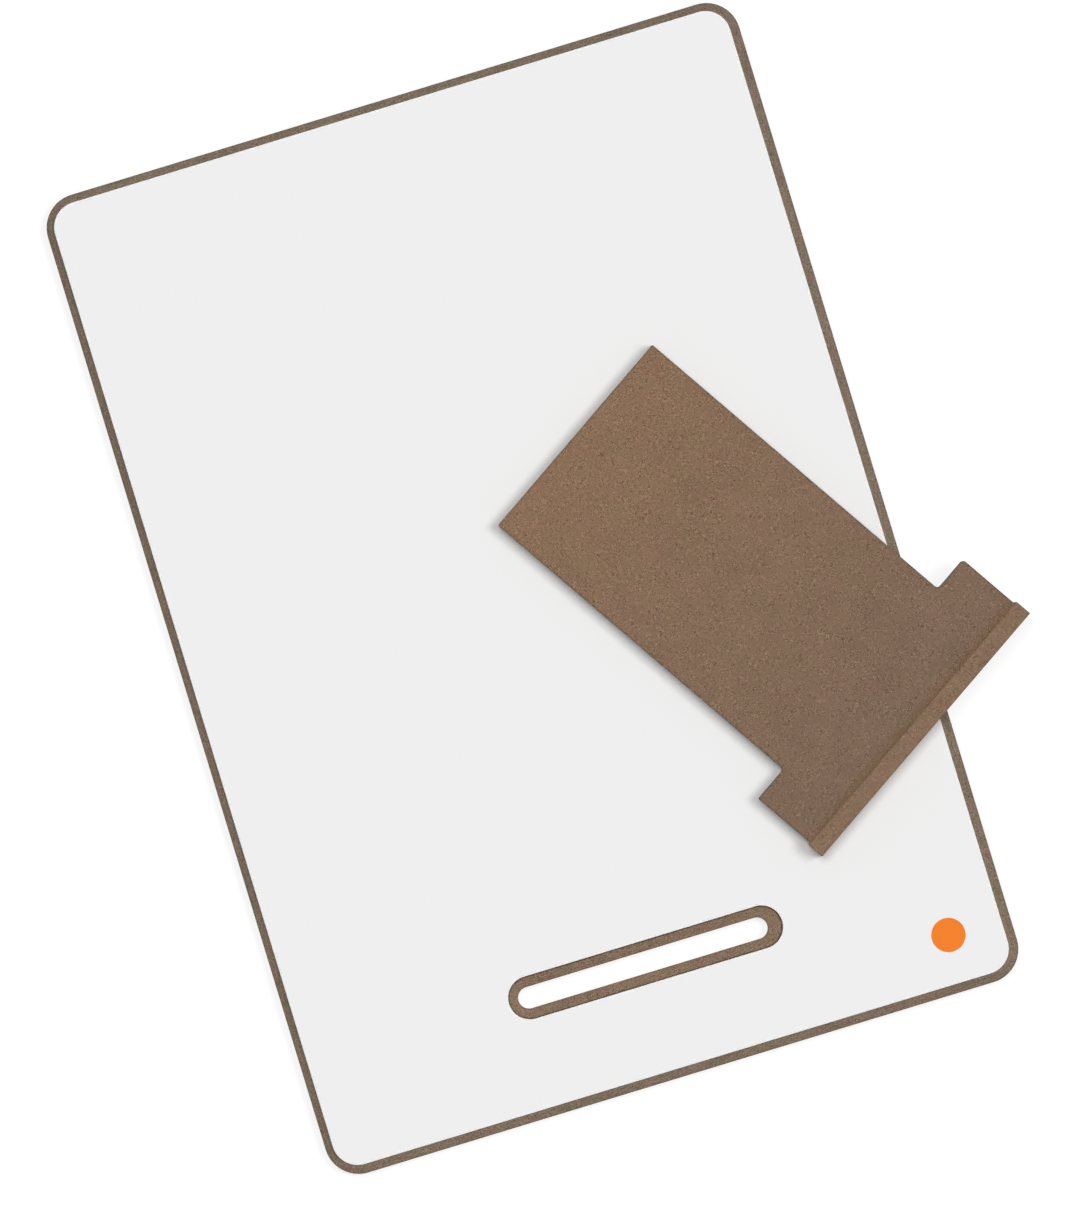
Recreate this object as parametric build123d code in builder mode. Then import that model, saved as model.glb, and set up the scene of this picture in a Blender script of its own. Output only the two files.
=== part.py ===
"""Small desk whiteboard with a slot, and the loose T-shaped stand that lies on its face.

Millimetres. X runs across the board, Y up the board and Z out of the writing face.
The origin is the centre of the board's back face.
"""

import os
from math import cos, radians, sin, sqrt

from build123d import *

os.makedirs("parts", exist_ok=True)

# Board: an A4 sandwich of white laminate, fibreboard core and balancing sheet
board_width = 210.0
board_height = 297.0
board_corner_radius = 10.0
face_thickness = 0.6
core_thickness = 5.0
back_thickness = 0.4
edge_bevel_width = 2.5
edge_bevel_depth = 1.6
face_shift_right = -0.25
face_shift_up = 0.2
face_arris = 0.2
back_arris = 0.5

# Stand: a T-shaped plate whose leg goes through the board's slot
stand_thickness = 5.5
leg_width = 69.0
leg_length = 109.0
crossbar_width = 91.4
crossbar_depth = 25.0
right_shoulder_radius = 1.2
left_shoulder_radius = 0.4
inner_corner_radius = 1.2
leg_end_radius = 0.4
plate_arris = 0.3

# Lip strip along the crossbar's front edge, which slopes down to the tray
lip_width = 5.0
lip_height = 1.9
lip_slope_width = 2.1
lip_toe_height = 0.15
lip_top_radius = 0.4
lip_foot_radius = 0.4
lip_overlength = 1.5
lip_end_cut = 1.8

# Slot in the board, which the leg passes through with play
slot_play = 0.85
slot_end_play = 1.7
slot_from_bottom = 35.0
slot_from_centre = -1.0
slot_bevel_side = 3.1
slot_bevel_end = 3.65
slot_bevel_shift = 0.8
slot_bevel_depth = 1.6

# Round sticker in the lower right corner
dot_diameter = 10.0
dot_thickness = 0.1
dot_from_right = 18.7
dot_from_bottom = 17.0

# Where the loose stand lies on the face: the middle of its leg end, and its direction
rest_from_right = 80.2
rest_from_bottom = 187.5
rest_angle = -57.45

core_bottom = back_thickness
core_top = core_bottom + core_thickness
board_thickness = core_top + face_thickness
board_bottom_y = -board_height / 2
board_right_x = board_width / 2

# The laminate is glued a little off the board's middle, so the bare bevel is wider on two sides
face_width = board_width - 2 * edge_bevel_width
face_height = board_height - 2 * edge_bevel_width
face_corner_radius = board_corner_radius - edge_bevel_width
face_centre = (face_shift_right, face_shift_up)

# The leg's square corners set how far the slot's round ends lie beyond them
slot_width = stand_thickness + slot_play
slot_radius = slot_width / 2
corner_loss = slot_radius - sqrt(slot_radius**2 - (stand_thickness / 2) ** 2)
slot_length = leg_width + 2 * (corner_loss + slot_end_play)
slot_x = slot_from_centre
slot_y = board_bottom_y + slot_from_bottom
ring_x = slot_x + slot_bevel_shift
ring_width = slot_width + 2 * slot_bevel_side
ring_length = slot_length + 2 * slot_bevel_end

# The plate stops where the lip strip's body starts, and the strip's slope laps over its edge
lip_front = leg_length + crossbar_depth
plate_length = lip_front - lip_width
slope_foot = plate_length - lip_slope_width
lip_length = crossbar_width + lip_overlength
lip_top = stand_thickness + lip_height
toe_top = stand_thickness + lip_toe_height

rest_direction = (cos(radians(rest_angle)), sin(radians(rest_angle)), 0)
rest_origin = (board_right_x - rest_from_right, board_bottom_y + rest_from_bottom, board_thickness)
stand_plane = Plane(origin=rest_origin, x_dir=rest_direction, z_dir=(0, 0, 1))
lip_origin = stand_plane.from_local_coords((0, lip_length / 2, 0))
lip_plane = Plane(origin=lip_origin, x_dir=stand_plane.x_dir, z_dir=-stand_plane.y_dir)


def distance_from_leg_end(edge):
    """How far along the stand the middle of an edge lies."""
    return stand_plane.to_local_coords(edge.center()).X


# Core: bevelled up to the laminate's edge and down into the slot
with BuildPart() as board_core:
    with BuildSketch(Plane.XY.offset(core_bottom)):
        RectangleRounded(board_width, board_height, board_corner_radius)
    extrude(amount=core_thickness - edge_bevel_depth)
    with BuildSketch(Plane.XY.offset(core_top - edge_bevel_depth)):
        RectangleRounded(board_width, board_height, board_corner_radius)
    with BuildSketch(Plane.XY.offset(core_top)):
        with Locations(face_centre):
            RectangleRounded(face_width, face_height, face_corner_radius)
    loft(ruled=True)
    with BuildSketch(Plane.XY.offset(core_top)):
        with Locations((ring_x, slot_y)):
            SlotOverall(ring_length, ring_width)
    with BuildSketch(Plane.XY.offset(core_top - slot_bevel_depth)):
        with Locations((slot_x, slot_y)):
            SlotOverall(slot_length, slot_width)
    loft(ruled=True, mode=Mode.SUBTRACT)
    with BuildSketch(Plane.XY.offset(core_bottom)):
        with Locations((slot_x, slot_y)):
            SlotOverall(slot_length, slot_width)
    extrude(amount=core_thickness, mode=Mode.SUBTRACT)
    chamfer(board_core.faces().sort_by(Axis.Z)[0].edges(), length=back_arris)
board_core.part.label = "board_core"
export_step(board_core.part, "parts/board_core.step")

# White laminate: its edge is where the core's bevels start
with BuildPart() as writing_face:
    with BuildSketch(Plane.XY.offset(core_top)):
        with Locations(face_centre):
            RectangleRounded(face_width, face_height, face_corner_radius)
        with Locations((ring_x, slot_y)):
            SlotOverall(ring_length, ring_width, mode=Mode.SUBTRACT)
    extrude(amount=face_thickness)
    chamfer(writing_face.faces().sort_by(Axis.Z)[-1].edges(), length=face_arris)
writing_face.part.label = "writing_face"
export_step(writing_face.part, "parts/writing_face.step")

# Balancing sheet: it covers the back inside the core's small rear bevels
with BuildPart() as back_sheet:
    with BuildSketch():
        RectangleRounded(
            board_width - 2 * back_arris,
            board_height - 2 * back_arris,
            board_corner_radius - back_arris,
        )
        with Locations((slot_x, slot_y)):
            SlotOverall(slot_length + 2 * back_arris, slot_width + 2 * back_arris, mode=Mode.SUBTRACT)
    extrude(amount=back_thickness)
back_sheet.part.label = "back_sheet"
export_step(back_sheet.part, "parts/back_sheet.step")

# Round sticker on the writing face
with BuildPart() as corner_dot:
    with BuildSketch(Plane.XY.offset(board_thickness)):
        with Locations((board_right_x - dot_from_right, board_bottom_y + dot_from_bottom)):
            Circle(dot_diameter / 2)
    extrude(amount=dot_thickness)
corner_dot.part.label = "corner_dot"
export_step(corner_dot.part, "parts/corner_dot.step")

# Stand plate: the leg, and the crossbar whose shoulders stop it at the board's face
with BuildPart() as stand_plate:
    with BuildSketch(stand_plane):
        with BuildLine():
            FilletPolyline(
                (0, -leg_width / 2),
                (leg_length, -leg_width / 2),
                (leg_length, -crossbar_width / 2),
                (plate_length, -crossbar_width / 2),
                (plate_length, crossbar_width / 2),
                (leg_length, crossbar_width / 2),
                (leg_length, leg_width / 2),
                (0, leg_width / 2),
                radius=(
                    leg_end_radius,
                    inner_corner_radius,
                    left_shoulder_radius,
                    0,
                    0,
                    right_shoulder_radius,
                    inner_corner_radius,
                    leg_end_radius,
                ),
                close=True,
            )
        make_face()
    extrude(amount=stand_thickness)
    faces_by_height = stand_plate.faces().group_by(Axis.Z)
    rims = (faces_by_height[0] + faces_by_height[-1]).edges()
    free_rims = rims.filter_by(lambda rim: distance_from_leg_end(rim) < plate_length - plate_arris)
    chamfer(free_rims, length=plate_arris)
stand_plate.part.label = "stand_plate"
export_step(stand_plate.part, "parts/stand_plate.step")

# Lip strip: rebated over the plate's front edge, its slope mitred at both ends
with BuildPart() as pen_lip:
    with BuildSketch(lip_plane):
        with BuildLine():
            FilletPolyline(
                (plate_length, 0),
                (lip_front, 0),
                (lip_front, lip_top),
                (plate_length, lip_top),
                (slope_foot, toe_top),
                (slope_foot, stand_thickness),
                (plate_length, stand_thickness),
                radius=(0, lip_foot_radius, lip_top_radius, lip_top_radius, 0, 0, 0),
                close=True,
            )
        make_face()
    extrude(amount=lip_length)
    with BuildSketch(stand_plane):
        with BuildLine():
            Polyline(
                (lip_front, -lip_length / 2),
                (lip_front, lip_length / 2),
                (plate_length, lip_length / 2),
                (slope_foot, lip_length / 2 - lip_end_cut),
                (slope_foot, -lip_length / 2 + lip_end_cut),
                (plate_length, -lip_length / 2),
                close=True,
            )
        make_face()
    extrude(amount=lip_top, mode=Mode.INTERSECT)
pen_lip.part.label = "pen_lip"
export_step(pen_lip.part, "parts/pen_lip.step")
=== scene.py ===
"""Finishes for a small slotted whiteboard and its loose fibreboard stand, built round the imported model."""

from math import ceil, copysign, cos, pi, radians, sin, sqrt, tan

import bmesh
import bpy
from mathutils import Matrix, Vector


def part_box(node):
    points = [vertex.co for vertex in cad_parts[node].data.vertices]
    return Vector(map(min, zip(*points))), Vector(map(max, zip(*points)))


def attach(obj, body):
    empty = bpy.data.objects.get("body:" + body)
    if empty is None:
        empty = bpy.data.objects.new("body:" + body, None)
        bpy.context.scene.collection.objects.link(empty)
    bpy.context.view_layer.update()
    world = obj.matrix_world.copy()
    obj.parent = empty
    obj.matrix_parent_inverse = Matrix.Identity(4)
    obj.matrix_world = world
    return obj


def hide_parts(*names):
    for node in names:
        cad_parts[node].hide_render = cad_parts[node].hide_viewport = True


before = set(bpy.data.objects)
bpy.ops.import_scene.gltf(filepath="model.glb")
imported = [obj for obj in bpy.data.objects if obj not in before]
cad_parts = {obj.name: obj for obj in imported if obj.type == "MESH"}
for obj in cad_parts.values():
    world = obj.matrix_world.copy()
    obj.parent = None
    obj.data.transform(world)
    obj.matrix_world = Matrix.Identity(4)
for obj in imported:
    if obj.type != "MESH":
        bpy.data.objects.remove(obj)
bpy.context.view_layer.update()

bl_info = {
    "name": "Slotted whiteboard",
    "version": (1, 0, 0),
    "blender": (4, 5, 0),
    "location": "3D View > Sidebar > Whiteboard",
    "description": "Builds the board, its laminates, its loose stand and the studio around them",
    "category": "Object",
}

MM = 0.001
CHORD_ERROR = 0.01 * MM
ARRIS_SEGMENTS = 4
LEAST_RADIUS = 0.05 * MM
SAME_POINT = 0.0001 * MM
SIZE_TOLERANCE = 0.05 * MM
SHARP_FROM = radians(40)
CORNER_SIGNS = ((-1, -1), (1, -1), (1, 1), (-1, 1))

core_low, core_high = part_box("board_core")
face_low, face_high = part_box("writing_face")
back_low, back_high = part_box("back_sheet")
dot_low, dot_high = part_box("corner_dot")
plate_low, plate_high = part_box("stand_plate")
lip_low, lip_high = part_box("pen_lip")


def linear(hex_colour):
    """A linear RGBA colour from an sRGB hex value such as #EFEFEF."""
    channels = [int(hex_colour[start:start + 2], 16) / 255 for start in (1, 3, 5)]
    curve = [c / 12.92 if c <= 0.04045 else ((c + 0.055) / 1.055) ** 2.4 for c in channels]
    return (*curve, 1.0)


def length(name, description, millimetres):
    """A length property whose default is given in millimetres."""
    return bpy.props.FloatProperty(
        name=name, description=description, default=millimetres * MM, precision=5, unit="LENGTH"
    )


def angle(name, description, degrees):
    """An angle property whose default is given in degrees."""
    return bpy.props.FloatProperty(
        name=name, description=description, default=radians(degrees), subtype="ANGLE"
    )


def colour(name, description, hex_colour):
    """A colour property whose default is given as an sRGB hex value."""
    return bpy.props.FloatVectorProperty(
        name=name, description=description, default=linear(hex_colour), size=4,
        min=0.0, max=1.0, subtype="COLOR",
    )


class BoardSizes(bpy.types.PropertyGroup):
    """Edges and slot of the board; its outline and heights come from the frame."""

    corner_radius: length("Corner radius", "Radius of the board's four corners", 10.0)
    edge_bevel_width: length("Edge bevel width", "Mean width of bare core round the white face", 2.5)
    edge_bevel_depth: length("Edge bevel depth", "How far the edge bevel drops", 1.6)
    back_arris: length("Back arris", "Small bevel round the core's back", 0.5)
    softness: length("Softness", "Radius that sanding leaves on the core's corners", 0.25)
    slot_length: length("Slot length", "Length of the opening that the leg passes through", 75.577)
    slot_width: length("Slot width", "Width of that opening", 6.35)
    slot_from_bottom: length("Slot height", "Slot centre above the bottom edge", 35.0)
    slot_left: length("Slot offset", "Slot centre to the left of the board's centre line", 1.0)
    slot_bevel_side: length("Slot bevel, sides", "Width of the slot's bevel along its sides", 3.1)
    slot_bevel_end: length("Slot bevel, ends", "Mean width of the slot's bevel at its ends", 3.65)
    slot_bevel_shift: length("Slot bevel shift", "How far its outline sits right of the opening", 0.8)
    slot_bevel_depth: length("Slot bevel depth", "How far the slot's bevel drops", 1.6)
    laminate_arris: length("Laminate arris", "Radius on the white laminate's edge", 0.2)


class StandSizes(bpy.types.PropertyGroup):
    """Outline, lip and resting place of the loose stand; its heights come from the frame."""

    leg_width: length("Leg width", "Width of the leg that goes through the slot", 69.0)
    leg_length: length("Leg length", "From the leg's end to the crossbar's shoulders", 109.0)
    crossbar_width: length("Crossbar width", "Width of the pen tray", 91.4)
    crossbar_depth: length("Crossbar depth", "From the shoulders to the lip's front", 25.0)
    right_shoulder_radius: length("Right shoulder", "Radius of the crossbar's right rear corner", 1.2)
    left_shoulder_radius: length("Left shoulder", "Radius of the crossbar's left rear corner", 0.4)
    inner_corner_radius: length("Inner corners", "Radius between the leg and the crossbar", 1.2)
    leg_end_radius: length("Leg end corners", "Radius of the leg's end corners", 0.4)
    arris: length("Arris", "Radius that sanding leaves along the plate's rims", 0.3)
    lip_width: length("Lip width", "Thickness of the lip strip", 5.0)
    lip_slope_width: length("Lip slope width", "How far the strip's slope laps over the plate", 2.1)
    lip_toe_height: length("Lip toe height", "Height of the slope's lower edge", 0.15)
    lip_hollow_depth: length("Lip hollow depth", "How far the slope's tangents meet below its chord", 0.32)
    lip_hollow_radius: length("Lip hollow radius", "Radius of the hollow slope", 5.5)
    lip_top_radius: length("Lip top", "Radius of the lip's top corners", 0.4)
    lip_foot_radius: length("Lip foot", "Radius of the lip's bottom front corner", 0.4)
    lip_overlength: length("Lip overlength", "How much longer the strip is than the plate is wide", 1.5)
    lip_end_cut: length("Lip end cut", "How far the slope's foot stops short of the ends", 1.8)
    rest_from_right: length("Rest, from right", "Leg end's middle, in from the board's right", 80.2)
    rest_from_bottom: length("Rest, from bottom", "Leg end's middle, up from the board's bottom", 187.5)
    rest_angle: angle("Rest angle", "Direction from the leg's end to the crossbar", -57.45)


class Finishes(bpy.types.PropertyGroup):
    """Colours of the surfaces."""

    sanded_face: colour("Fibreboard face", "Sanded face of the stand's fibreboard", "#886C55")
    cut_edge: colour("Fibreboard edge", "Cut edges and bevels of fibreboard", "#857463")
    routed_slot: colour("Routed slot", "Fresher, warmer fibreboard in the slot", "#8C7561")
    lip_face: colour("Lip strip", "Paler fibreboard of the lip strip", "#8E735D")
    lip_slope: colour("Lip slope", "Cut slope and ends of the lip strip", "#90755C")
    laminate: colour("Dry-erase laminate", "White writing surface", "#EEEEEE")
    balancing: colour("Balancing sheet", "Plain laminate on the back", "#DDDAD2")
    sticker: colour("Sticker", "Round orange sticker", "#F07D1E")


class StudioSettings(bpy.types.PropertyGroup):
    """Camera, floor and light."""

    camera_height: length("Camera height", "Camera above the writing face", 6000.0)
    view_height: length("View height", "Height of the picture on the writing face", 355.6)
    centre_x: length("View centre X", "Across the board to the picture's centre", -0.316)
    centre_y: length("View centre Y", "Up the board to the picture's centre", -7.058)
    roll: angle("Roll", "How far the board leans anticlockwise in the picture", 16.93)
    fill: bpy.props.FloatProperty(
        name="Fill", description="Share of the light that comes from all round", default=0.2,
        min=0.0, max=1.0, subtype="FACTOR",
    )
    softbox_spread: angle("Softbox spread", "Angular diameter of the two softboxes", 25.0)
    right_tilt: angle("Right softbox tilt", "How far it leans from the vertical", 29.5)
    right_heading: angle("Right softbox heading", "Where it leans to, from the board's right", -5.5)
    upper_tilt: angle("Upper softbox tilt", "How far it leans from the vertical", 14.0)
    upper_heading: angle("Upper softbox heading", "Where it leans to, from the board's right", 109.0)
    floor_size: length("Floor size", "Side of the square floor", 12000.0)


def inset(corners, distance):
    """Corners of an anticlockwise outline whose sides have moved inward, or outward if it is negative."""
    moved = []
    for before, corner, after in zip(corners[-1:] + corners[:-1], corners, corners[1:] + corners[:1]):
        along_in = (corner - before).normalized()
        along_out = (after - corner).normalized()
        inward = Vector((-along_in.y - along_out.y, along_in.x + along_out.x))
        moved.append(corner + inward * distance / (1 + along_in.dot(along_out)))
    return moved


def arc(before, corner, after, radius, segments):
    """Points on the arc of a radius that rounds a corner between two others."""
    half_angle = (before - corner).angle(after - corner) / 2
    to_before = (before - corner).normalized()
    to_after = (after - corner).normalized()
    centre = corner + (to_before + to_after).normalized() * radius / sin(half_angle)
    tangent = radius / tan(half_angle)
    first_spoke = (corner + to_before * tangent - centre).normalized()
    last_spoke = (corner + to_after * tangent - centre).normalized()
    shares = [step / segments for step in range(segments + 1)]
    return [centre + first_spoke.slerp(last_spoke, share) * radius for share in shares]


def outline(corners, radii, inward=0.0, segments=None):
    """Points of an anticlockwise outline moved inward by a distance, its corners rounded to match.

    A shape gives as many points at every distance, so that its outlines can be joined ring to ring.
    """
    points = []
    moved = inset(corners, inward)
    for before, corner, after, radius in zip(moved[-1:] + moved[:-1], moved, moved[1:] + moved[:1], radii):
        if not radius:
            points.append(corner)
            continue
        bulges = (corner - before).cross(after - corner) > 0
        moved_radius = max(radius - inward if bulges else radius + inward, LEAST_RADIUS)
        turn = pi - (before - corner).angle(after - corner)
        # A chord that turns by t leaves its arc by about radius * t² / 8
        sides = segments or ceil(turn * sqrt(radius / (8 * CHORD_ERROR)))
        for point in arc(before, corner, after, moved_radius, sides):
            if not points or (point - points[-1]).length > SAME_POINT:
                points.append(point)
    if (points[0] - points[-1]).length <= SAME_POINT:
        points.pop()
    return points


def rectangle(width, height, radius, centre=Vector((0, 0))):
    """Corners and radii of a rectangle with round corners, for outline()."""
    corners = [centre + Vector((x * width / 2, y * height / 2)) for x, y in CORNER_SIGNS]
    return corners, [radius] * 4


def section(corners, radius, band=0.0):
    """Points (across, height, arris) of a cut through a rim, with each inner corner rounded.

    The arris value is 1 on the rounded corners. With a band it falls to 0 at that distance from them.
    """
    corners = [Vector(corner) for corner in corners]
    points = [(*corners[0], 0.0)]
    for before, corner, after in zip(corners, corners[1:], corners[2:]):
        bend = arc(before, corner, after, radius, ARRIS_SEGMENTS)
        if band:
            points.append((*(bend[0] + (before - corner).normalized() * band), 0.0))
        points += [(*point, 1.0) for point in bend]
        if band:
            points.append((*(bend[-1] + (after - corner).normalized() * band), 0.0))
    points.append((*corners[-1], 0.0))
    return points


def rim_layers(shape, rim, hole=False):
    """Layers for skin() that carry a shape's outline, or a hole's, through the section of a rim."""
    side = -1 if hole else 1
    return [(outline(*shape, inward=side * across), height, arris) for across, height, arris in rim]


def skin(mesh, layers, material_index=0):
    """Rings of vertices joined by quads; each layer is (outline, height, arris). Returns the end rings."""
    arris_layer = mesh.verts.layers.float.get("arris") or mesh.verts.layers.float.new("arris")
    rings = []
    for points, height, arris in layers:
        ring = [mesh.verts.new((point.x, point.y, height)) for point in points]
        for vertex in ring:
            vertex[arris_layer] = arris
        rings.append(ring)
    for lower, upper in zip(rings, rings[1:]):
        for index, vertex in enumerate(lower):
            face = mesh.faces.new((lower[index - 1], vertex, upper[index], upper[index - 1]))
            face.material_index = material_index
    return rings[0], rings[-1]


def cap(mesh, *rings):
    """Closes a flat side inside a ring, or between it and a hole's ring, with a crisp border."""
    border = [
        mesh.edges.get((ring[index - 1], vertex)) for ring in rings for index, vertex in enumerate(ring)
    ]
    for edge in border:
        edge.smooth = False
    if len(rings) == 1:
        mesh.faces.new(rings[0])
    else:
        bmesh.ops.triangle_fill(mesh, use_beauty=True, edges=border)


def solid(layers):
    """A closed form: a skin over the layers, and a cap on each end."""
    mesh = bmesh.new()
    for end in skin(mesh, layers):
        cap(mesh, end)
    return mesh


def slotted_solid(rim, slot_rim, slot_material=0):
    """A closed form with a slot through it, from the layers of its rim and of the slot's rim."""
    mesh = bmesh.new()
    outer_bottom, outer_top = skin(mesh, rim)
    inner_bottom, inner_top = skin(mesh, slot_rim, slot_material)
    cap(mesh, outer_bottom, inner_bottom)
    cap(mesh, outer_top, inner_top)
    return mesh


def face_shape(sizes):
    """Shape of the white laminate, which the frame puts a little off the board's middle."""
    radius = sizes.corner_radius - sizes.edge_bevel_width
    centre = (face_low + face_high).to_2d() / 2
    return rectangle(face_high.x - face_low.x, face_high.y - face_low.y, radius, centre)


def slot_shapes(sizes):
    """Shapes of the slot's opening and of the wider edge where its bevel meets the laminate."""
    opening_centre = Vector((-sizes.slot_left, core_low.y + sizes.slot_from_bottom))
    ring_centre = opening_centre + Vector((sizes.slot_bevel_shift, 0))
    ring_length = sizes.slot_length + 2 * sizes.slot_bevel_end
    ring_width = sizes.slot_width + 2 * sizes.slot_bevel_side
    opening = rectangle(sizes.slot_length, sizes.slot_width, sizes.slot_width / 2, opening_centre)
    ring = rectangle(ring_length, ring_width, ring_width / 2, ring_centre)
    return opening, ring


def add_piece(name, mesh, body, node, materials, place=Matrix.Identity(4)):
    """Turns a bmesh into a named piece that rides on a body and fills the space of the node it replaces."""
    bmesh.ops.recalc_face_normals(mesh, faces=mesh.faces)
    for face in mesh.faces:
        face.smooth = True
    for edge in mesh.edges:
        if edge.calc_face_angle(0) > SHARP_FROM:
            edge.smooth = False
    data = bpy.data.meshes.new(name)
    mesh.to_mesh(data)
    mesh.free()
    for material in materials:
        data.materials.append(material)
    piece = bpy.data.objects.new(name, data)
    bpy.context.scene.collection.objects.link(piece)
    piece.matrix_world = place
    evened = piece.modifiers.new("even_flats", "WEIGHTED_NORMAL")
    evened.keep_sharp = True
    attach(piece, body)
    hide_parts(node)
    corners = [place @ vertex.co for vertex in data.vertices]
    for axis in range(3):
        reach = [corner[axis] for corner in corners]
        low, high = (corner[axis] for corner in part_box(node))
        if abs(min(reach) - low) > SIZE_TOLERANCE or abs(max(reach) - high) > SIZE_TOLERANCE:
            raise ValueError(f"{name} doesn't fill the space of {node} along axis {axis}")
    return piece


def add_node(tree, kind, inputs=None, **settings):
    """Adds a node with its settings; each input is a value or the socket that it is linked from."""
    node = tree.nodes.new(kind)
    for name, value in settings.items():
        setattr(node, name, value)
    for name, value in (inputs or {}).items():
        if isinstance(value, bpy.types.NodeSocket):
            tree.links.new(value, node.inputs[name])
        else:
            node.inputs[name].default_value = value
    return node


def new_material(name):
    """An empty node material and its tree."""
    material = bpy.data.materials.new(name)
    material.use_nodes = True
    material.node_tree.nodes.clear()
    return material, material.node_tree


def bare_fibreboard(name, face_colour, edge_colour, strength=1.0, painted_shade_drift=(0.0, 0.0)):
    """MDF: softwood fibre and resin pressed into a board, its faces sanded and its edges machined.

    A face looks like felt pressed flat: a brown ground crossed by short pale and dark fibres, with dark
    specks of bark and soft patches that lean to red or to olive. Cut edges are rougher, torn in spots
    and in faint flat layers, and handling darkens the sharp corners. Strength is how clearly the fibre
    and the cuts show. The painted shade drift is how much darker the board is painted per metre along X
    and along Y, as painted shade where less light falls; it greys and fades as well.
    """
    material, tree = new_material(name)
    place = add_node(tree, "ShaderNodeTexCoord").outputs["Object"]

    # Bundles of fibre are 0.1 mm thick on a real board, and are drawn 0.25 mm wide to show in the picture
    fibre_width = 0.25 * MM
    fibre_length = 1.2 * MM
    headings = (15.0, 60.0, 105.0, 150.0)
    sets_of_fibres = []
    for heading in headings:
        turned = add_node(
            tree, "ShaderNodeMapping",
            {"Vector": place, "Rotation": (0.0, 0.0, radians(heading)),
             "Scale": (fibre_length, fibre_width, fibre_width)},
            vector_type="TEXTURE",
        )
        fibres = add_node(
            tree, "ShaderNodeTexNoise",
            {"Vector": turned.outputs["Vector"], "Scale": 1.0, "Detail": 2.0, "Distortion": 0.3},
        )
        sets_of_fibres.append(fibres.outputs["Fac"])
    palest = darkest = sets_of_fibres[0]
    for fibres in sets_of_fibres[1:]:
        paler = add_node(tree, "ShaderNodeMath", {0: palest, 1: fibres}, operation="MAXIMUM")
        darker = add_node(tree, "ShaderNodeMath", {0: darkest, 1: fibres}, operation="MINIMUM")
        palest = paler.outputs[0]
        darkest = darker.outputs[0]
    crossing = add_node(tree, "ShaderNodeMath", {0: palest, 1: darkest}, operation="ADD")
    crossed_fibres = add_node(
        tree, "ShaderNodeMapRange",
        {"Value": crossing.outputs[0], "From Min": 0.75, "From Max": 1.25, "To Min": -1.0, "To Max": 1.0},
    )

    # Fibre ends are finer than 0.1 mm on faces and cuts alike, and are drawn as a grit of 0.25 mm
    grit_size = 0.25 * MM
    ends = add_node(
        tree, "ShaderNodeTexNoise",
        {"Vector": place, "Scale": 1 / grit_size, "Detail": 2.0, "Roughness": 0.7},
    )
    grit = add_node(
        tree, "ShaderNodeMapRange",
        {"Value": ends.outputs["Fac"], "From Min": 0.25, "From Max": 0.75, "To Min": -1.0, "To Max": 1.0},
    )
    raised = add_node(
        tree, "ShaderNodeMath", {0: crossed_fibres.outputs["Result"], 1: grit.outputs["Result"]},
        operation="ADD",
    )

    # A face looks up or down; everything else was cut
    facing = add_node(tree, "ShaderNodeTexCoord").outputs["Normal"]
    upright = add_node(tree, "ShaderNodeSeparateXYZ", {0: facing}).outputs["Z"]
    flatness = add_node(tree, "ShaderNodeMath", {0: upright}, operation="ABSOLUTE")
    on_edge = add_node(
        tree, "ShaderNodeMapRange",
        {"Value": flatness.outputs[0], "From Min": 0.97, "From Max": 0.9, "To Min": 0.0, "To Max": 1.0},
    ).outputs["Result"]

    # The pressed layers are about 0.5 mm apart through the board, run on for 6 mm and show where it is cut
    layer_pitch = 0.5 * MM
    layer_run = 6.0 * MM
    noise_mean = 0.5
    flattened = add_node(
        tree, "ShaderNodeMapping", {"Vector": place, "Scale": (layer_run, layer_run, layer_pitch)},
        vector_type="TEXTURE",
    )
    layers = add_node(
        tree, "ShaderNodeTexNoise", {"Vector": flattened.outputs["Vector"], "Scale": 1.0, "Detail": 2.0}
    )
    levelled = add_node(
        tree, "ShaderNodeMath", {0: layers.outputs["Fac"], 1: noise_mean}, operation="SUBTRACT"
    )
    layered = add_node(tree, "ShaderNodeMath", {0: levelled.outputs[0], 1: on_edge}, operation="MULTIPLY")

    # The cutter tears out and burnishes spots of about 0.5 mm along an edge
    tear_size = 0.5 * MM
    tears = add_node(
        tree, "ShaderNodeTexNoise",
        {"Vector": place, "Scale": 1 / tear_size, "Detail": 2.0, "Roughness": 0.8},
    )
    tear_shade = add_node(
        tree, "ShaderNodeMapRange",
        {"Value": tears.outputs["Fac"], "From Min": 0.3, "From Max": 0.7, "To Min": -1.0, "To Max": 1.0},
    )
    torn = add_node(
        tree, "ShaderNodeMath", {0: tear_shade.outputs["Result"], 1: on_edge}, operation="MULTIPLY"
    )

    # Specks of bark about 0.5 mm across, one in each 2 mm cell that isn't left bare
    speck_cell = 2.0 * MM
    bare_cells = 0.55
    cells = add_node(tree, "ShaderNodeTexVoronoi", {"Vector": place, "Scale": 1 / speck_cell})
    bark = add_node(
        tree, "ShaderNodeMapRange",
        {"Value": cells.outputs["Distance"], "From Min": 0.08, "From Max": 0.16, "To Min": 1.0,
         "To Max": 0.0},
    )
    lot = add_node(tree, "ShaderNodeSeparateColor", {0: cells.outputs["Color"]})
    chosen = add_node(
        tree, "ShaderNodeMath", {0: lot.outputs["Red"], 1: bare_cells}, operation="GREATER_THAN"
    )
    speck = add_node(
        tree, "ShaderNodeMath", {0: bark.outputs["Result"], 1: chosen.outputs[0]}, operation="MULTIPLY"
    )

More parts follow.
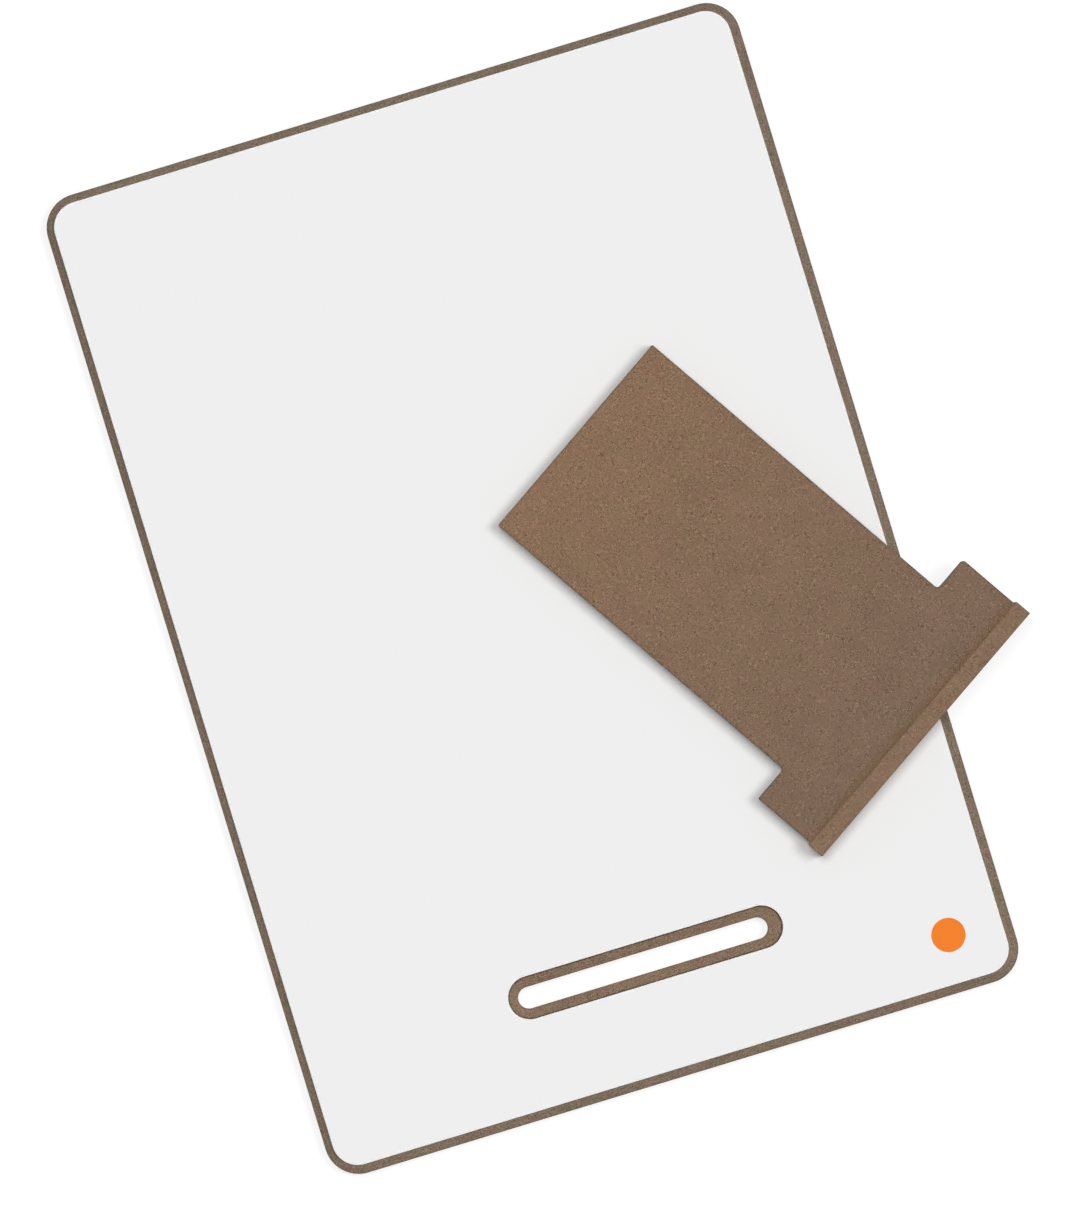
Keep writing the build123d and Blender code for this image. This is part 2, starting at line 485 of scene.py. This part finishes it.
    # Denser and looser fibre makes patches about 8 mm across, which differ in tone and in hue
    patch_size = 8.0 * MM
    same_hue = 0.5
    face_lean = 0.018
    patches = add_node(
        tree, "ShaderNodeTexNoise", {"Vector": place, "Scale": 1 / patch_size, "Detail": 3.0}
    )
    patch_channels = add_node(tree, "ShaderNodeSeparateColor", {0: patches.outputs["Color"]})
    face_hue = add_node(
        tree, "ShaderNodeMapRange",
        {"Value": patch_channels.outputs["Green"], "To Min": same_hue - face_lean,
         "To Max": same_hue + face_lean},
    )

    # A cut opens bundles of fibre that lean to red or to olive, in patches about 4 mm across
    bundle_size = 4.4 * MM
    edge_lean = 0.07 * strength
    bundles = add_node(
        tree, "ShaderNodeTexNoise", {"Vector": place, "Scale": 1 / bundle_size, "Detail": 2.0}
    )
    edge_hue = add_node(
        tree, "ShaderNodeMapRange",
        {"Value": bundles.outputs["Fac"], "To Min": same_hue - edge_lean, "To Max": same_hue + edge_lean},
    )
    # Sockets 2 and 3 are the Mix node's two numbers
    hue = add_node(
        tree, "ShaderNodeMix", {0: on_edge, 2: face_hue.outputs["Result"], 3: edge_hue.outputs["Result"]}
    )

    # Fibres are clear in some spots of about 2 mm and blurred in others, and fade where the painted shade
    # greys the board
    spot_size = 2.0 * MM
    fading = 1.5
    greying = 0.6
    # Painted shade: how much darker the board is painted here, where less light falls, from its place along
    # the drift
    painted_shade = add_node(
        tree, "ShaderNodeVectorMath", {0: place, 1: (*painted_shade_drift, 0.0)}, operation="DOT_PRODUCT"
    ).outputs["Value"]
    spots = add_node(tree, "ShaderNodeTexNoise", {"Vector": place, "Scale": 1 / spot_size, "Detail": 1.0})
    clarity = add_node(
        tree, "ShaderNodeMapRange",
        {"Value": spots.outputs["Fac"], "From Min": 0.3, "From Max": 0.7, "To Min": 0.35, "To Max": 1.65},
    )
    faded = add_node(
        tree, "ShaderNodeMath", {0: painted_shade, 1: -fading, 2: clarity.outputs["Result"]},
        operation="MULTIPLY_ADD",
    )
    shown = add_node(
        tree, "ShaderNodeMath", {0: raised.outputs[0], 1: faded.outputs[0]}, operation="MULTIPLY"
    )

    # Each source, less its mean, adds its share to the brightness. The hue is one of them, because olive
    # fibre would look paler otherwise. The arris value is 1 where corners are worn, and more where the
    # cutter scorched the slot's rim
    worn = add_node(tree, "ShaderNodeAttribute", attribute_name="arris")
    sources_shares_means = (
        (shown.outputs[0], 0.52 * strength, 0.0),
        (torn.outputs[0], 0.16 * strength, 0.0),
        (layered.outputs[0], 0.50 * strength, 0.0),
        (speck.outputs[0], -0.16, 0.0),
        (patch_channels.outputs["Red"], 0.24, noise_mean),
        (hue.outputs[0], -3.2, same_hue),
        # Painted shade darkens the board where less light falls
        (painted_shade, -1.0, 0.0),
        (worn.outputs["Fac"], -0.14, 0.0),
    )
    brightness = 1.0 - sum(share * mean for _, share, mean in sources_shares_means)
    for source, share, _ in sources_shares_means:
        total = add_node(
            tree, "ShaderNodeMath", {0: source, 1: share, 2: brightness}, operation="MULTIPLY_ADD"
        )
        brightness = total.outputs[0]
    # Sockets 6 and 7 are the Mix node's two colours
    ground = add_node(
        tree, "ShaderNodeMix", {0: on_edge, 6: face_colour, 7: edge_colour}, data_type="RGBA"
    )
    # The painted shade greys the colour as well
    greyed = add_node(
        tree, "ShaderNodeMath", {0: painted_shade, 1: -greying, 2: 1.0}, operation="MULTIPLY_ADD"
    )
    toned = add_node(
        tree, "ShaderNodeHueSaturation",
        {"Color": ground.outputs[2], "Hue": hue.outputs[0], "Saturation": greyed.outputs[0],
         "Value": brightness},
    )

    # Raised fibres roughen the cut edges more than the sanded faces
    relief = add_node(
        tree, "ShaderNodeMapRange", {"Value": on_edge, "To Min": 0.03 * MM, "To Max": 0.10 * MM}
    )
    bump = add_node(
        tree, "ShaderNodeBump",
        {"Height": raised.outputs[0], "Strength": 0.6, "Distance": relief.outputs["Result"]},
    )
    surface = add_node(
        tree, "ShaderNodeBsdfPrincipled",
        {"Base Color": toned.outputs["Color"], "Roughness": 0.82, "IOR": 1.4,
         "Normal": bump.outputs["Normal"]},
    )
    add_node(tree, "ShaderNodeOutputMaterial", {"Surface": surface.outputs["BSDF"]})
    return material


def dry_erase_laminate(name, white):
    """Melamine laminate: resin-soaked paper pressed against a polished plate, for dry-wipe markers.

    It is a clean neutral white with a smooth sheen, and a very slight unevenness in its reflections.
    """
    material, tree = new_material(name)
    place = add_node(tree, "ShaderNodeTexCoord").outputs["Object"]

    # The polished plate leaves an orange peel about 3 mm across and a few microns deep
    peel_size = 3.0 * MM
    peel = add_node(tree, "ShaderNodeTexNoise", {"Vector": place, "Scale": 1 / peel_size, "Detail": 1.0})
    bump = add_node(
        tree, "ShaderNodeBump", {"Height": peel.outputs["Fac"], "Strength": 0.25, "Distance": 0.004 * MM}
    )

    # Wiping polishes some patches more than others
    wipe_size = 40.0 * MM
    wiped = add_node(tree, "ShaderNodeTexNoise", {"Vector": place, "Scale": 1 / wipe_size, "Detail": 2.0})
    roughness = add_node(
        tree, "ShaderNodeMapRange", {"Value": wiped.outputs["Fac"], "To Min": 0.2, "To Max": 0.3}
    )
    surface = add_node(
        tree, "ShaderNodeBsdfPrincipled",
        {"Base Color": white, "Roughness": roughness.outputs["Result"], "IOR": 1.5,
         "Normal": bump.outputs["Normal"]},
    )
    add_node(tree, "ShaderNodeOutputMaterial", {"Surface": surface.outputs["BSDF"]})
    return material


def balancing_laminate(name, pale):
    """Melamine balancing sheet: plain resin-soaked paper pressed on the back, matt and faintly grained."""
    material, tree = new_material(name)
    place = add_node(tree, "ShaderNodeTexCoord").outputs["Object"]

    # The press plate's fine grain, 0.6 mm apart
    grain_size = 0.6 * MM
    grain = add_node(tree, "ShaderNodeTexNoise", {"Vector": place, "Scale": 1 / grain_size, "Detail": 2.0})
    shade = add_node(
        tree, "ShaderNodeMapRange", {"Value": grain.outputs["Fac"], "To Min": 0.95, "To Max": 1.05}
    )
    toned = add_node(tree, "ShaderNodeHueSaturation", {"Color": pale, "Value": shade.outputs["Result"]})
    bump = add_node(
        tree, "ShaderNodeBump", {"Height": grain.outputs["Fac"], "Strength": 0.5, "Distance": 0.02 * MM}
    )
    surface = add_node(
        tree, "ShaderNodeBsdfPrincipled",
        {"Base Color": toned.outputs["Color"], "Roughness": 0.55, "IOR": 1.5,
         "Normal": bump.outputs["Normal"]},
    )
    add_node(tree, "ShaderNodeOutputMaterial", {"Surface": surface.outputs["BSDF"]})
    return material


def printed_vinyl(name, ink):
    """Printed vinyl: a solid ink on thin plastic film, satin and even, with a faint film texture."""
    material, tree = new_material(name)
    place = add_node(tree, "ShaderNodeTexCoord").outputs["Object"]

    # Film texture, 0.3 mm apart
    film_size = 0.3 * MM
    film = add_node(tree, "ShaderNodeTexNoise", {"Vector": place, "Scale": 1 / film_size, "Detail": 1.0})
    shade = add_node(
        tree, "ShaderNodeMapRange", {"Value": film.outputs["Fac"], "To Min": 0.97, "To Max": 1.03}
    )
    toned = add_node(tree, "ShaderNodeHueSaturation", {"Color": ink, "Value": shade.outputs["Result"]})
    surface = add_node(
        tree, "ShaderNodeBsdfPrincipled",
        {"Base Color": toned.outputs["Color"], "Roughness": 0.4, "IOR": 1.5},
    )
    add_node(tree, "ShaderNodeOutputMaterial", {"Surface": surface.outputs["BSDF"]})
    return material


class WHITEBOARD_OT_core(bpy.types.Operator):
    """Cut the fibreboard core, with a bevel round its face and a bevelled slot"""

    bl_idname = "whiteboard.core"
    bl_label = "Core board"

    def execute(self, context):
        sizes = context.scene.whiteboard_board
        finishes = context.scene.whiteboard_finishes
        mesh = slotted_solid(self.edge_layers(sizes), self.slot_layers(sizes), slot_material=1)
        cut_strength = 0.85
        # Painted shade: the core is painted darker and greyer towards its right and top, which leaves its
        # lower edge lighter, as a light from below would
        painted_shade_per_metre = (0.2, 0.3)
        milled = bare_fibreboard(
            "MDF_milled_edge", finishes.cut_edge, finishes.cut_edge, cut_strength, painted_shade_per_metre
        )
        routed = bare_fibreboard(
            "MDF_routed_slot", finishes.routed_slot, finishes.routed_slot, cut_strength
        )
        add_piece("core_board", mesh, "board", "board_core", [milled, routed])
        return {"FINISHED"}

    def rim(self, sizes, bevel_width, bevel_depth):
        """Sections of a rim's wall with its rear arris, and of the bevel above the wall."""
        bottom = core_low.z
        top = core_high.z
        middle = (bottom + top) / 2
        band = 0.5 * MM
        wall = section(
            [(sizes.back_arris, bottom), (0, bottom + sizes.back_arris), (0, middle)], sizes.softness, band
        )
        bevel = section([(0, middle), (0, top - bevel_depth), (bevel_width, top)], sizes.softness, band)
        return wall, bevel

    def bevel_layers(self, start, end, bevel_width, levels):
        """Outlines that spread from the bevel's start to its end; levels are (across, height, arris)."""
        layers = []
        for across, height, arris in levels:
            share = across / bevel_width
            layers.append(([near.lerp(far, share) for near, far in zip(start, end)], height, arris))
        return layers

    def edge_layers(self, sizes):
        """The board's straight wall, which then slopes in to the laminate's outline."""
        corner_segments = 16
        board = rectangle(core_high.x - core_low.x, core_high.y - core_low.y, sizes.corner_radius)
        wall, bevel = self.rim(sizes, sizes.edge_bevel_width, sizes.edge_bevel_depth)
        layers = [
            (outline(*board, inward=across, segments=corner_segments), height, arris)
            for across, height, arris in wall
        ]
        outer = outline(*board, segments=corner_segments)
        inner = outline(*face_shape(sizes), segments=corner_segments)
        # The bevel's first level is the wall's last
        return layers + self.bevel_layers(outer, inner, sizes.edge_bevel_width, bevel[1:])

    def slot_layers(self, sizes):
        """The slot's straight wall, which then opens out evenly to the bevel's outline."""
        scorched_band = 0.25 * MM
        inner_corner_wear = 0.8
        rim_scorch = 4.0
        end_segments = 12
        opening, ring = slot_shapes(sizes)
        wall, bevel = self.rim(sizes, sizes.slot_bevel_side, sizes.slot_bevel_depth)
        layers = [
            (outline(*opening, inward=-across, segments=end_segments), height, arris)
            for across, height, arris in wall
        ]
        top = core_high.z
        last_across, last_height, _ = bevel[-2]
        slope = (top - last_height) / (sizes.slot_bevel_side - last_across)
        levels = [(across, height, arris * inner_corner_wear) for across, height, arris in bevel[1:-1]]
        # The bevel is plain up to two bands below its rim, and scorched from one band on
        for bands, scorch in ((2, 0.0), (1, rim_scorch), (0, rim_scorch)):
            short = bands * scorched_band
            levels.append((sizes.slot_bevel_side - short, top - short * slope, scorch))
        narrow = outline(*opening, segments=end_segments)
        wide = outline(*ring, segments=end_segments)
        return layers + self.bevel_layers(narrow, wide, sizes.slot_bevel_side, levels)


class WHITEBOARD_OT_writing_laminate(bpy.types.Operator):
    """Lay the white dry-erase laminate on the core"""

    bl_idname = "whiteboard.writing_laminate"
    bl_label = "Writing laminate"

    def execute(self, context):
        sizes = context.scene.whiteboard_board
        finishes = context.scene.whiteboard_finishes
        _, slot_hole = slot_shapes(sizes)
        flat_margin = 0.5 * MM
        rim = section([(0, face_low.z), (0, face_high.z), (flat_margin, face_high.z)], sizes.laminate_arris)
        mesh = slotted_solid(rim_layers(face_shape(sizes), rim), rim_layers(slot_hole, rim, hole=True))
        laminate = dry_erase_laminate("dry_erase_melamine", finishes.laminate)
        add_piece("writing_laminate", mesh, "board", "writing_face", [laminate])
        return {"FINISHED"}


class WHITEBOARD_OT_balancing_laminate(bpy.types.Operator):
    """Lay the plain balancing laminate on the back of the core"""

    bl_idname = "whiteboard.balancing_laminate"
    bl_label = "Balancing laminate"

    def execute(self, context):
        sizes = context.scene.whiteboard_board
        finishes = context.scene.whiteboard_finishes
        corner_radius = sizes.corner_radius - sizes.back_arris
        sheet = rectangle(back_high.x - back_low.x, back_high.y - back_low.y, corner_radius)
        (corners, radii), _ = slot_shapes(sizes)
        slot_hole = inset(corners, -sizes.back_arris), [radius + sizes.back_arris for radius in radii]
        flat_margin = 0.5 * MM
        edge_radius = 0.12 * MM
        rim = section([(flat_margin, back_low.z), (0, back_low.z), (0, back_high.z)], edge_radius)
        mesh = slotted_solid(rim_layers(sheet, rim), rim_layers(slot_hole, rim, hole=True))
        laminate = balancing_laminate("balancing_melamine", finishes.balancing)
        add_piece("balancing_laminate", mesh, "board", "back_sheet", [laminate])
        return {"FINISHED"}


class WHITEBOARD_OT_sticker(bpy.types.Operator):
    """Stick the plain round sticker in the lower right corner"""

    bl_idname = "whiteboard.sticker"
    bl_label = "Corner sticker"

    def execute(self, context):
        finishes = context.scene.whiteboard_finishes
        centre = (dot_low + dot_high).to_2d() / 2
        diameter = dot_high.x - dot_low.x
        edge_radius = 0.05 * MM
        flat_margin = 0.3 * MM
        rim = section([(0, dot_low.z), (0, dot_high.z), (flat_margin, dot_high.z)], edge_radius)
        mesh = solid(rim_layers(rectangle(diameter, diameter, diameter / 2, centre), rim))
        vinyl = printed_vinyl("orange_vinyl", finishes.sticker)
        add_piece("round_sticker", mesh, "board", "corner_dot", [vinyl])
        return {"FINISHED"}


def stand_place(sizes):
    """Matrix that lays the stand on the board: its local X runs from the leg's end to the lip."""
    x = core_high.x - sizes.rest_from_right
    y = core_low.y + sizes.rest_from_bottom
    return Matrix.Translation((x, y, plate_low.z)) @ Matrix.Rotation(sizes.rest_angle, 4, "Z")


class WHITEBOARD_OT_stand_board(bpy.types.Operator):
    """Cut the stand's T-shaped plate and lay it on the board"""

    bl_idname = "whiteboard.stand_board"
    bl_label = "Stand board"

    def execute(self, context):
        sizes = context.scene.whiteboard_stand
        finishes = context.scene.whiteboard_finishes
        front = sizes.leg_length + sizes.crossbar_depth - sizes.lip_width
        leg = sizes.leg_width / 2
        bar = sizes.crossbar_width / 2
        corners = [
            (0, -leg), (sizes.leg_length, -leg), (sizes.leg_length, -bar), (front, -bar),
            (front, bar), (sizes.leg_length, bar), (sizes.leg_length, leg), (0, leg),
        ]
        radii = [
            sizes.leg_end_radius, sizes.inner_corner_radius, sizes.left_shoulder_radius, 0,
            0, sizes.right_shoulder_radius, sizes.inner_corner_radius, sizes.leg_end_radius,
        ]
        tee = [Vector(corner) for corner in corners], radii
        thickness = plate_high.z - plate_low.z
        band = 0.5 * MM
        flat_margin = 1.2 * MM
        rim = section(
            [(flat_margin, 0), (0, 0), (0, thickness), (flat_margin, thickness)], sizes.arris, band
        )
        mesh = solid(rim_layers(tee, rim))
        # Painted shade: the plate is painted darker from the leg's end towards the crossbar, where less
        # light falls
        painted_shade_per_metre = (1.5, 0.0)
        sanded = bare_fibreboard(
            "MDF_sanded_stand", finishes.sanded_face, finishes.cut_edge, painted_shade_drift=painted_shade_per_metre
        )
        add_piece("stand_board", mesh, "stand", "stand_plate", [sanded], stand_place(sizes))
        return {"FINISHED"}


class WHITEBOARD_OT_lip_strip(bpy.types.Operator):
    """Glue the lip strip over the crossbar's front edge, its slope towards the tray"""

    bl_idname = "whiteboard.lip_strip"
    bl_label = "Lip strip"

    def execute(self, context):
        sizes = context.scene.whiteboard_stand
        finishes = context.scene.whiteboard_finishes
        front = sizes.leg_length + sizes.crossbar_depth
        back = front - sizes.lip_width
        slope_foot = back - sizes.lip_slope_width
        plate_top = plate_high.z - plate_low.z
        toe_top = plate_top + sizes.lip_toe_height
        lip_top = lip_high.z - lip_low.z
        slope_top = Vector((back, lip_top))
        slope_edge = Vector((slope_foot, toe_top))
        slope = slope_top - slope_edge
        hollow = slope_edge + slope / 2 + Vector((slope.y, -slope.x)).normalized() * sizes.lip_hollow_depth
        corners = [
            (back, 0), (front, 0), (front, lip_top), slope_top, hollow, slope_edge,
            (slope_foot, plate_top), (back, plate_top),
        ]
        slope_top_radius = sizes.lip_top_radius / 2
        radii = [
            0, sizes.lip_foot_radius, sizes.lip_top_radius, slope_top_radius, sizes.lip_hollow_radius, 0,
            0, 0,
        ]
        profile = [Vector(corner) for corner in corners], radii
        strip_length = sizes.crossbar_width + sizes.lip_overlength
        end_radius = 0.05 * MM
        flat_margin = 0.06 * MM
        ends = section(
            [(flat_margin, 0), (0, 0), (0, strip_length), (flat_margin, strip_length)], end_radius
        )
        mesh = solid(rim_layers(profile, ends))
        # The profile is drawn flat and stacked upwards, then tipped to run across the stand
        tip = Matrix(((1, 0, 0, 0), (0, 0, -1, strip_length / 2), (0, 1, 0, 0), (0, 0, 0, 1)))
        bmesh.ops.transform(mesh, matrix=tip, verts=mesh.verts)
        self.mitre_slope(mesh, back, sizes.lip_end_cut / sizes.lip_slope_width)
        strip = bare_fibreboard("MDF_lip_strip", finishes.lip_face, finishes.lip_slope, strength=0.55)
        add_piece("lip_strip", mesh, "stand", "pen_lip", [strip], stand_place(sizes))
        return {"FINISHED"}

    def mitre_slope(self, mesh, back, cut_share):
        """Draws the ends of the slope inward, the more the further they lie from the strip's body."""
        for vertex in mesh.verts:
            overlap = back - vertex.co.x
            if overlap > 0:
                vertex.co.y -= copysign(overlap * cut_share, vertex.co.y)


def seen_directly(tree):
    """Socket that is 1 for what is seen, straight or in metal or glass, and 0 for light on the object."""
    path = add_node(tree, "ShaderNodeLightPath")
    seen = path.outputs["Is Camera Ray"]
    for other in ("Is Glossy Ray", "Is Transmission Ray"):
        either = add_node(tree, "ShaderNodeMath", {0: seen, 1: path.outputs[other]}, operation="MAXIMUM")
        seen = either.outputs[0]
    return seen


class WHITEBOARD_OT_studio(bpy.types.Operator):
    """Set up the pale floor, the soft light and the camera"""

    bl_idname = "whiteboard.studio"
    bl_label = "Studio"

    def execute(self, context):
        scene = context.scene
        studio = scene.whiteboard_studio
        self.add_floor(scene, studio)
        self.add_light(scene, studio)
        self.add_camera(scene, studio)
        scene.view_settings.view_transform = "Standard"
        return {"FINISHED"}

    def add_floor(self, scene, studio):
        """A pale matt floor that looks white and keeps the object's shadow, just under the board's back."""
        clearance = 0.02 * MM
        half = studio.floor_size / 2
        corners = [(x * half, y * half, -clearance) for x, y in CORNER_SIGNS]
        mesh = bpy.data.meshes.new("floor")
        mesh.from_pydata(corners, [], [(0, 1, 2, 3)])
        material, tree = new_material("floor_paper")
        paper = add_node(tree, "ShaderNodeBsdfDiffuse", {"Color": linear("#909090")})
        # The paper reflects about a quarter of the light, and its glow adds the rest for the eye alone
        paper_glow = 0.76
        lift = add_node(
            tree, "ShaderNodeMath", {0: seen_directly(tree), 1: paper_glow}, operation="MULTIPLY"
        )
        glow = add_node(tree, "ShaderNodeEmission", {"Strength": lift.outputs[0]})
        both = add_node(tree, "ShaderNodeAddShader", {0: paper.outputs[0], 1: glow.outputs[0]})
        add_node(tree, "ShaderNodeOutputMaterial", {"Surface": both.outputs[0]})
        mesh.materials.append(material)
        floor = bpy.data.objects.new("floor", mesh)
        scene.collection.objects.link(floor)

    def add_light(self, scene, studio):
        """A white surround for fill, and two softboxes overhead that leave no glare."""
        world = bpy.data.worlds.new("white_surround")
        world.use_nodes = True
        tree = world.node_tree
        tree.nodes.clear()
        strength = add_node(
            tree, "ShaderNodeMapRange",
            {"Value": seen_directly(tree), "To Min": studio.fill, "To Max": 1.0},
        )
        surround = add_node(
            tree, "ShaderNodeBackground",
            {"Color": linear("#FFFFFF"), "Strength": strength.outputs["Result"]},
        )
        add_node(tree, "ShaderNodeOutputWorld", {"Surface": surround.outputs[0]})
        scene.world = world
        softboxes = (
            ("right_softbox", studio.right_tilt, studio.right_heading),
            ("upper_softbox", studio.upper_tilt, studio.upper_heading),
        )
        # A sun of strength pi shows what faces it in the colour it has, and the softboxes share what the
        # fill leaves of that, as it falls on a level surface
        share = (1 - studio.fill) / len(softboxes)
        # A sun shines alike from any height
        lamp_height = 1.0
        for name, tilt, heading in softboxes:
            lamp = bpy.data.lights.new(name, "SUN")
            lamp.angle = studio.softbox_spread
            lamp.energy = share * pi / cos(tilt)
            softbox = bpy.data.objects.new(name, lamp)
            lean = Matrix.Rotation(heading, 4, "Z") @ Matrix.Rotation(tilt, 4, "Y")
            softbox.matrix_world = Matrix.Translation((0, 0, lamp_height)) @ lean
            softbox.visible_glossy = False
            scene.collection.objects.link(softbox)

    def add_camera(self, scene, studio):
        """A long lens straight above the board, rolled so that the board leans as in the picture."""
        lens = bpy.data.cameras.new("camera")
        lens.lens = lens.sensor_width * studio.camera_height / studio.view_height
        camera = bpy.data.objects.new("camera", lens)
        camera.location = (studio.centre_x, studio.centre_y, face_high.z + studio.camera_height)
        camera.rotation_euler = (0, 0, -studio.roll)
        scene.collection.objects.link(camera)
        scene.camera = camera


class WHITEBOARD_PT_panel(bpy.types.Panel):
    """Lists the builders of the whiteboard in the sidebar"""

    bl_idname = "WHITEBOARD_PT_panel"
    bl_label = "Slotted whiteboard"
    bl_space_type = "VIEW_3D"
    bl_region_type = "UI"
    bl_category = "Whiteboard"

    def draw(self, context):
        for builder in BUILDERS:
            self.layout.operator(builder.bl_idname)
        for group_name in PROPERTY_GROUPS:
            group = getattr(context.scene, group_name)
            box = self.layout.box()
            for name in group.__annotations__:
                box.prop(group, name)


BUILDERS = (
    WHITEBOARD_OT_core,
    WHITEBOARD_OT_writing_laminate,
    WHITEBOARD_OT_balancing_laminate,
    WHITEBOARD_OT_sticker,
    WHITEBOARD_OT_stand_board,
    WHITEBOARD_OT_lip_strip,
    WHITEBOARD_OT_studio,
)
PROPERTY_GROUPS = {
    "whiteboard_board": BoardSizes,
    "whiteboard_stand": StandSizes,
    "whiteboard_finishes": Finishes,
    "whiteboard_studio": StudioSettings,
}


def register():
    """Registers the property groups, the operators and the panel."""
    for group_name, group in PROPERTY_GROUPS.items():
        bpy.utils.register_class(group)
        setattr(bpy.types.Scene, group_name, bpy.props.PointerProperty(type=group))
    for cls in (*BUILDERS, WHITEBOARD_PT_panel):
        bpy.utils.register_class(cls)


def unregister():
    """Takes back what register() did, in reverse."""
    for cls in (WHITEBOARD_PT_panel, *reversed(BUILDERS)):
        bpy.utils.unregister_class(cls)
    for group_name, group in PROPERTY_GROUPS.items():
        delattr(bpy.types.Scene, group_name)
        bpy.utils.unregister_class(group)


def main():
    """Builds everything in order."""
    register()
    bpy.ops.whiteboard.core()
    bpy.ops.whiteboard.writing_laminate()
    bpy.ops.whiteboard.balancing_laminate()
    bpy.ops.whiteboard.sticker()
    bpy.ops.whiteboard.stand_board()
    bpy.ops.whiteboard.lip_strip()
    bpy.ops.whiteboard.studio()


if __name__ == "__main__":
    main()
